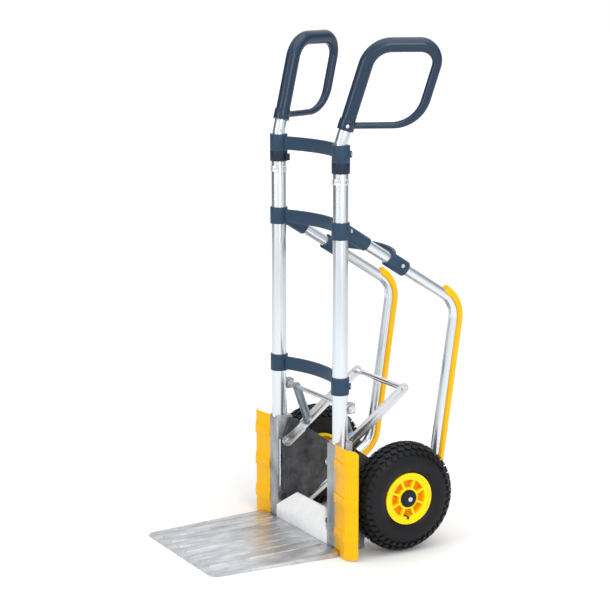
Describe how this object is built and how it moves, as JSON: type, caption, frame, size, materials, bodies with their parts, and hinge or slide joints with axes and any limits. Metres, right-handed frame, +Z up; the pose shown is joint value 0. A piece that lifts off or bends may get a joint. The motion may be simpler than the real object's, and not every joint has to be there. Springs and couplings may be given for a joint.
{
  "type": "hand truck",
  "caption": "Two-wheeled hand truck with telescoping twin-grip handle, curved rear glides, ribbed toe plate and a foot lever that swings the wheel carrier.",
  "frame": {"origin": "floor level, midway between the two uprights and directly under their axes; the toe plate's flat underside lies on the floor plane", "axes": "+Z up; -Y towards the toe plate, +Y towards the wheels and glides; +X towards the right-hand wheel"},
  "size_m": [0.502, 0.6836, 1.195],
  "materials": {
    "rolled_aluminium": "extruded, lightly brushed",
    "cast_aluminium": "as cast, matt",
    "satin_aluminium": "satin anodised",
    "grey_casting": "dark sand-cast, matt",
    "yellow_plastic": "moulded, semi-gloss",
    "amber_plastic": "moulded, semi-gloss",
    "rim_plastic": "moulded, semi-gloss",
    "blue_plastic": "moulded, satin",
    "dark_blue_plastic": "moulded, satin",
    "grip_plastic": "moulded, glossy",
    "black_plastic": "moulded, matt",
    "valve_rubber": "matt",
    "tyre_rubber": "moulded tread, matt",
    "zinc_steel": "zinc plated",
    "dark_zinc": "zinc plated, dull",
    "bright_steel": "bright plated",
    "black_steel": "black oxide"
  },
  "bodies": {
    "frame": {"toe_plate": "rolled_aluminium", "riser": "cast_aluminium", "bracket_left": "cast_aluminium", "bracket_right": "cast_aluminium", "bumper_left": "yellow_plastic", "bumper_right": "yellow_plastic", "upright_left": "satin_aluminium", "upright_right": "satin_aluminium", "top_ring_left": "dark_blue_plastic", "top_ring_right": "dark_blue_plastic", "lower_crossbar": "blue_plastic", "middle_crossbar": "blue_plastic", "glide_rail_left": "satin_aluminium", "glide_rail_right": "satin_aluminium", "glide_strip_left": "amber_plastic", "glide_strip_right": "amber_plastic", "glide_brace": "blue_plastic", "frame_screws": "zinc_steel", "cross_rod": "zinc_steel", "rod_lugs": "cast_aluminium", "rod_nuts": "zinc_steel"},
    "wheel_carrier": {"carrier_plate_left": "grey_casting", "carrier_plate_right": "grey_casting", "axle": "zinc_steel", "axle_spacers": "zinc_steel", "pivot_bolts": "black_steel", "lever_bolts": "zinc_steel", "axle_caps": "black_plastic", "axle_bolts": "zinc_steel", "carrier_bolts": "black_steel"},
    "foot_lever": {"lever_arm_left": "zinc_steel", "lever_arm_right": "zinc_steel", "tread_rod": "bright_steel", "tread_screws": "zinc_steel", "link_bolts": "zinc_steel", "lever_washers": "zinc_steel"},
    "links": {"link_left": "dark_zinc", "link_right": "dark_zinc"},
    "wheel_left": {"tyre_left": "tyre_rubber", "rim_left": "rim_plastic", "bearings_left": "zinc_steel", "valve_left": "valve_rubber"},
    "wheel_right": {"tyre_right": "tyre_rubber", "rim_right": "rim_plastic", "bearings_right": "zinc_steel", "valve_right": "valve_rubber"},
    "handle": {"inner_tube_left": "satin_aluminium", "inner_tube_right": "satin_aluminium", "top_crossbar": "blue_plastic", "grip_left": "grip_plastic", "grip_right": "grip_plastic", "grip_clamps": "grip_plastic", "handle_screws": "zinc_steel", "tube_plug_left": "black_plastic", "tube_plug_right": "black_plastic"},
    "lock_pin_left": {"lock_pin_left": "bright_steel", "snap_wire_left": "bright_steel"},
    "lock_pin_right": {"lock_pin_right": "bright_steel", "snap_wire_right": "bright_steel"}
  },
  "joints": [
    {"name": "carrier_swing", "type": "hinge", "parent": "frame", "child": "wheel_carrier", "pos_m": [0, -0.008, 0.065], "axis": [1, 0, 0], "range_deg": [0, 8]},
    {"name": "lever_tread", "type": "hinge", "parent": "wheel_carrier", "child": "foot_lever", "pos_m": [0, 0, 0.206], "axis": [1, 0, 0], "range_deg": [-12.8, 0]},
    {"name": "link_swing", "type": "hinge", "parent": "frame", "child": "links", "pos_m": [0, 0.024, 0.341], "axis": [1, 0, 0], "range_deg": [-10.2, 0]},
    {"name": "wheel_left_spin", "type": "hinge", "parent": "wheel_carrier", "child": "wheel_left", "pos_m": [-0.207, 0.134, 0.13], "axis": [1, 0, 0], "continuous": true},
    {"name": "wheel_right_spin", "type": "hinge", "parent": "wheel_carrier", "child": "wheel_right", "pos_m": [0.207, 0.134, 0.13], "axis": [1, 0, 0], "continuous": true},
    {"name": "handle_slide", "type": "slide", "parent": "frame", "child": "handle", "axis": [0, 0, 1], "range_m": [0, 0.25]},
    {"name": "lock_pin_left_slide", "type": "slide", "parent": "frame", "child": "lock_pin_left", "axis": [0.6626, -0.749, 0], "range_m": [0, 0.03]},
    {"name": "lock_pin_right_slide", "type": "slide", "parent": "frame", "child": "lock_pin_right", "axis": [0.6626, -0.749, 0], "range_m": [0, 0.03]}
  ],
  "couplings": [
    {"joint": "lever_tread", "follows": "carrier_swing", "ratio": -1.5818},
    {"joint": "link_swing", "follows": "carrier_swing", "ratio": -1.2562}
  ]
}
